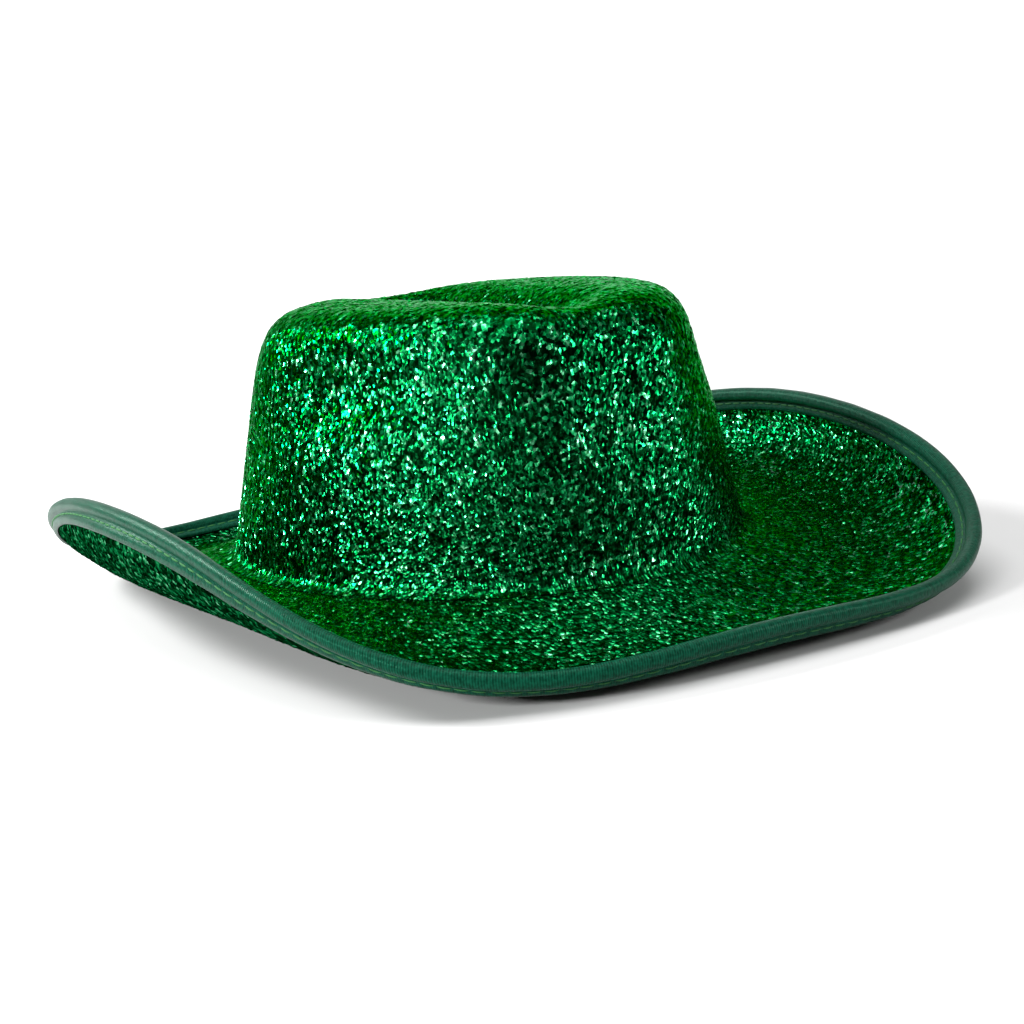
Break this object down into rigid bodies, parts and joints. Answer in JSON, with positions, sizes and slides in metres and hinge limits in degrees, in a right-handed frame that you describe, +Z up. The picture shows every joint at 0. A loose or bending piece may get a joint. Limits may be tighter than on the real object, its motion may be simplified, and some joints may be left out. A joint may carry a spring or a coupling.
{
  "type": "cowboy hat",
  "caption": "Cowboy hat in green tinsel knit, with a creased crown and a wired, satin-bound brim rolled up at both sides",
  "frame": {"origin": "bottom centre of the whole hat, on the surface it stands on", "axes": "+Z up, front of the hat towards -Y, the hat's own left side towards +X"},
  "size_m": [0.2848, 0.3438, 0.1052],
  "materials": {
    "tinsel_knit": "metallic tinsel knit, glittering",
    "satin": "satin bias tape, soft sheen",
    "sewing_thread": "polyester thread",
    "stiff_felt": "stiffened non-woven felt, matte",
    "cotton_tape": "woven tape, matte",
    "sweatband_cloth": "ribbed woven band, matte",
    "label_satin": "blank satin label",
    "spring_wire": "drawn spring wire",
    "crimp_metal": "crimped tube"
  },
  "bodies": {
    "root": {"crown_cover": "tinsel_knit", "crown_form": "stiff_felt", "brim_core": "stiff_felt", "brim_top_cover": "tinsel_knit", "brim_under_cover": "tinsel_knit", "edge_binding": "satin", "edge_wire": "spring_wire", "wire_sleeve": "crimp_metal", "binding_stitching_top": "sewing_thread", "binding_stitching_under": "sewing_thread", "base_seam_stitching": "sewing_thread", "sweatband_stitching": "sewing_thread", "base_seam_tape": "cotton_tape", "sweatband": "sweatband_cloth", "sweatband_back_tab": "cotton_tape", "size_label": "label_satin"}
  },
  "joints": []
}
